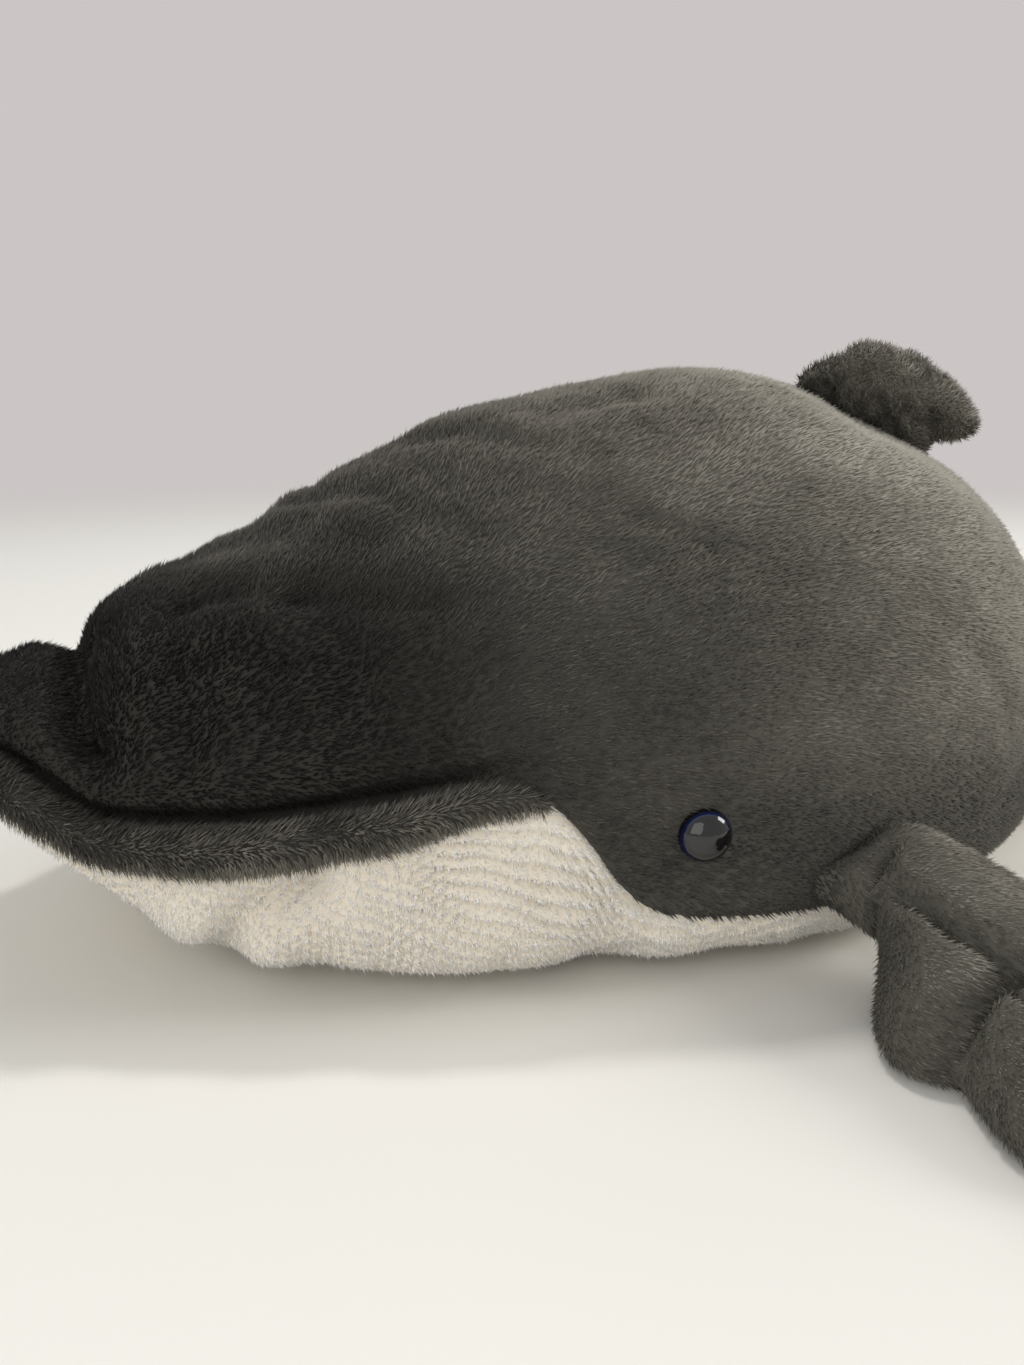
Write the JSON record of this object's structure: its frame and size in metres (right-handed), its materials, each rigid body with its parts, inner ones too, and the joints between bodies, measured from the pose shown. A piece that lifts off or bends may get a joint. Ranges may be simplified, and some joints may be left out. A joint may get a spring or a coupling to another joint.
{
  "type": "plush whale",
  "caption": "Stuffed plush whale lying on its belly, dark grey back over a ribbed cream throat, with bending flippers, back fin, tail and fluke.",
  "frame": {"origin": "on the table under the middle of the whale's length, in its plane of symmetry", "axes": "the nose points to -Y and the tail to +Y, the back to +Z, and the whale's left side to +X"},
  "size_m": [0.5186, 0.527, 0.1715],
  "materials": {
    "grey_plush": "short dense pile, matt, combed towards the tail",
    "grey_plush_long": "longer shaggy pile, matt",
    "cream_plush": "soft pile in wavy ribs that run along the throat",
    "eye_black": "polished domed button with a thin dark blue rim",
    "washer_plastic": "plain moulded",
    "fibre_filling": "loose white polyester fibre",
    "bag_linen": "plain woven bag of granules"
  },
  "bodies": {
    "torso": {"back_cover_left": "grey_plush", "back_cover_right": "grey_plush", "belly_cover": "cream_plush", "eye_left": "eye_black", "eye_right": "eye_black", "eye_washer_left": "washer_plastic", "eye_washer_right": "washer_plastic", "head_filling": "fibre_filling", "body_filling": "fibre_filling", "granule_bag": "bag_linen", "lower_lip_roll": "grey_plush_long"},
    "flipper_left": {"flipper_left_cover": "grey_plush", "flipper_left_filling": "fibre_filling"},
    "flipper_right": {"flipper_right_cover": "grey_plush", "flipper_right_filling": "fibre_filling"},
    "dorsal_fin": {"dorsal_fin_cover": "grey_plush_long", "dorsal_fin_filling": "fibre_filling"},
    "tail": {"tail_cover": "grey_plush", "tail_filling": "fibre_filling"},
    "fluke": {"fluke_left_cover": "grey_plush", "fluke_left_filling": "fibre_filling", "fluke_right_cover": "grey_plush", "fluke_right_filling": "fibre_filling"}
  },
  "joints": [
    {"name": "flipper_left_lift", "type": "hinge", "parent": "torso", "child": "flipper_left", "pos_m": [0.10977, -0.02021, 0.03548], "axis": [0, -0.9397, -0.342], "range_deg": [0, 60]},
    {"name": "flipper_right_lift", "type": "hinge", "parent": "torso", "child": "flipper_right", "pos_m": [-0.10977, -0.02021, 0.03548], "axis": [0, 0.9397, 0.342], "range_deg": [0, 60]},
    {"name": "fin_lean", "type": "hinge", "parent": "torso", "child": "dorsal_fin", "pos_m": [0, 0.05076, 0.14667], "axis": [0, 0.8829, -0.4695], "range_deg": [-75, 12], "stiffness_Nm_per_rad": 0.02},
    {"name": "tail_swing", "type": "hinge", "parent": "torso", "child": "tail", "pos_m": [0, 0.14377, 0.05], "axis": [0, 0, 1], "range_deg": [-20, 20], "stiffness_Nm_per_rad": 0.15},
    {"name": "fluke_tilt", "type": "hinge", "parent": "tail", "child": "fluke", "pos_m": [0, 0.19977, 0.03139], "axis": [1, 0, 0], "range_deg": [-30, 30], "stiffness_Nm_per_rad": 0.2}
  ]
}
